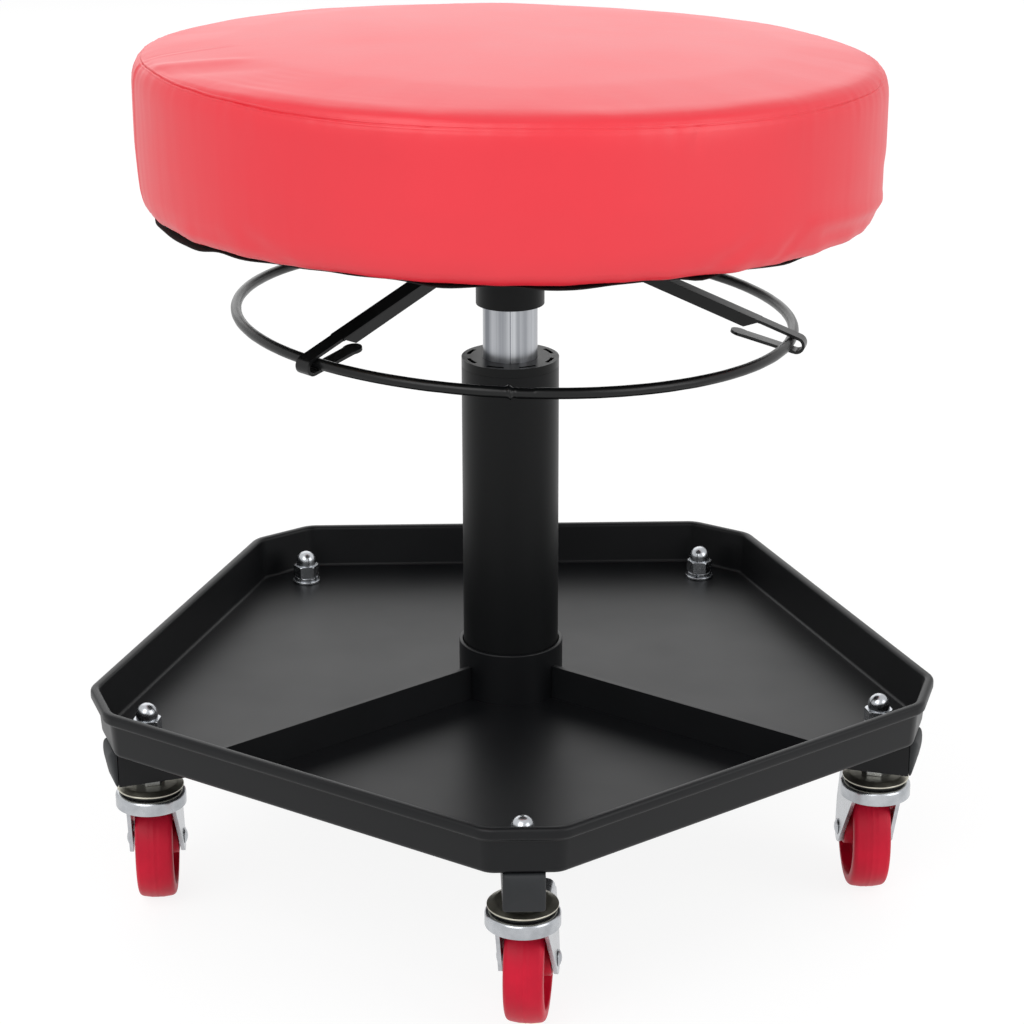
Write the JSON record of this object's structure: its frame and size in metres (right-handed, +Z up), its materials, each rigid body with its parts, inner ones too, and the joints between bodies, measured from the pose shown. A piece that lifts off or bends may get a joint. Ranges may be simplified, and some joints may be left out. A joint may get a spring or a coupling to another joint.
{
  "type": "rolling work stool",
  "caption": "Roller work stool: a round padded seat on a gas lift with a release ring, over a five-sided tool tray on swivel casters.",
  "frame": {"origin": "on the floor under the column axis, which is the middle of the wheelbase; the casters' trail puts the middle of the whole outline a few millimetres in front of it", "axes": "+Z up along the column, -Y towards the front corner of the tray, +X to the right"},
  "size_m": [0.4332, 0.4419, 0.4507],
  "materials": {
    "black_powder_coat": "satin powder coat",
    "black_plastic": "moulded",
    "zinc_plate": "zinc plated",
    "drawn_steel": "drawn and ground",
    "brass": "turned",
    "black_rubber": "matte",
    "red_wheel": "satin moulded polyurethane",
    "red_vinyl": "grained vinyl over foam",
    "dust_cloth": "non-woven",
    "plywood": "raw birch ply"
  },
  "bodies": {
    "base": {"hub_tube": "black_powder_coat", "legs": "black_powder_coat", "leg_caps": "black_plastic", "tool_tray": "black_powder_coat", "divider_left": "black_powder_coat", "divider_right": "black_powder_coat", "stand_tube": "black_powder_coat", "guide_bush": "black_plastic", "bearing_washer_lower": "drawn_steel", "ball_cage": "brass", "bearing_balls": "drawn_steel", "cap_nuts": "zinc_plate", "spring_washers": "zinc_plate", "flat_washers": "zinc_plate", "caster_stems": "zinc_plate", "caster_plates": "zinc_plate", "race_rings": "black_plastic"},
    "rod": {"bearing_washer_upper": "drawn_steel", "piston_rod": "drawn_steel", "piston": "drawn_steel", "rod_clip": "zinc_plate", "rod_buffer": "black_rubber"},
    "seat": {"gas_cylinder": "drawn_steel", "cylinder_seal": "black_plastic", "valve_body": "brass", "seat_socket": "black_powder_coat", "socket_cup": "black_powder_coat", "seat_plate": "black_powder_coat", "plate_screws": "zinc_plate", "tee_nuts": "zinc_plate", "seat_board": "plywood", "dust_cover": "dust_cloth", "cushion": "red_vinyl"},
    "valve": {"valve_pin": "drawn_steel"},
    "release": {"release_disc": "black_powder_coat", "release_arm_1": "black_powder_coat", "release_arm_2": "black_powder_coat", "release_arm_3": "black_powder_coat", "arm_rivets": "zinc_plate", "release_ring": "black_powder_coat"},
    "caster_1": {"caster_fork_1": "zinc_plate", "caster_axle_1": "zinc_plate"},
    "caster_2": {"caster_fork_2": "zinc_plate", "caster_axle_2": "zinc_plate"},
    "caster_3": {"caster_fork_3": "zinc_plate", "caster_axle_3": "zinc_plate"},
    "caster_4": {"caster_fork_4": "zinc_plate", "caster_axle_4": "zinc_plate"},
    "caster_5": {"caster_fork_5": "zinc_plate", "caster_axle_5": "zinc_plate"},
    "wheel_1": {"caster_wheel_1": "red_wheel", "wheel_bush_1": "drawn_steel"},
    "wheel_2": {"caster_wheel_2": "red_wheel", "wheel_bush_2": "drawn_steel"},
    "wheel_3": {"caster_wheel_3": "red_wheel", "wheel_bush_3": "drawn_steel"},
    "wheel_4": {"caster_wheel_4": "red_wheel", "wheel_bush_4": "drawn_steel"},
    "wheel_5": {"caster_wheel_5": "red_wheel", "wheel_bush_5": "drawn_steel"}
  },
  "joints": [
    {"name": "seat_swivel", "type": "hinge", "parent": "base", "child": "rod", "pos_m": [0, 0, 0.0578], "axis": [0, 0, 1], "continuous": true},
    {"name": "seat_lift", "type": "slide", "parent": "rod", "child": "seat", "axis": [0, 0, 1], "range_m": [0, 0.13]},
    {"name": "release_tilt", "type": "hinge", "parent": "seat", "child": "release", "pos_m": [0.00466, -0.01739, 0.3503], "axis": [-0.9659, -0.2588, 0], "range_deg": [0, 6.5], "stiffness_Nm_per_rad": 2, "springref_deg": -5.73},
    {"name": "valve_press", "type": "slide", "parent": "seat", "child": "valve", "axis": [0, 0, -1], "range_m": [0, 0.0021]},
    {"name": "swivel_1", "type": "hinge", "parent": "base", "child": "caster_1", "pos_m": [0, -0.197, 0.0726], "axis": [0, 0, 1], "continuous": true},
    {"name": "swivel_2", "type": "hinge", "parent": "base", "child": "caster_2", "pos_m": [0.18736, -0.06088, 0.0726], "axis": [0, 0, 1], "continuous": true},
    {"name": "swivel_3", "type": "hinge", "parent": "base", "child": "caster_3", "pos_m": [0.11579, 0.15938, 0.0726], "axis": [0, 0, 1], "continuous": true},
    {"name": "swivel_4", "type": "hinge", "parent": "base", "child": "caster_4", "pos_m": [-0.11579, 0.15938, 0.0726], "axis": [0, 0, 1], "continuous": true},
    {"name": "swivel_5", "type": "hinge", "parent": "base", "child": "caster_5", "pos_m": [-0.18736, -0.06088, 0.0726], "axis": [0, 0, 1], "continuous": true},
    {"name": "roll_1", "type": "hinge", "parent": "caster_1", "child": "wheel_1", "pos_m": [0.0039, -0.16927, 0.032], "axis": [0.9903, -0.1392, 0], "continuous": true},
    {"name": "roll_2", "type": "hinge", "parent": "caster_2", "child": "wheel_2", "pos_m": [0.18736, -0.03288, 0.032], "axis": [1, 0, 0], "continuous": true},
    {"name": "roll_3", "type": "hinge", "parent": "caster_3", "child": "wheel_3", "pos_m": [0.11579, 0.18738, 0.032], "axis": [1, 0, 0], "continuous": true},
    {"name": "roll_4", "type": "hinge", "parent": "caster_4", "child": "wheel_4", "pos_m": [-0.11579, 0.18738, 0.032], "axis": [1, 0, 0], "continuous": true},
    {"name": "roll_5", "type": "hinge", "parent": "caster_5", "child": "wheel_5", "pos_m": [-0.18834, -0.03289, 0.032], "axis": [0.9994, 0.0349, 0], "continuous": true}
  ],
  "couplings": [
    {"joint": "valve_press", "follows": "release_tilt", "m_per_rad": 0.018}
  ]
}
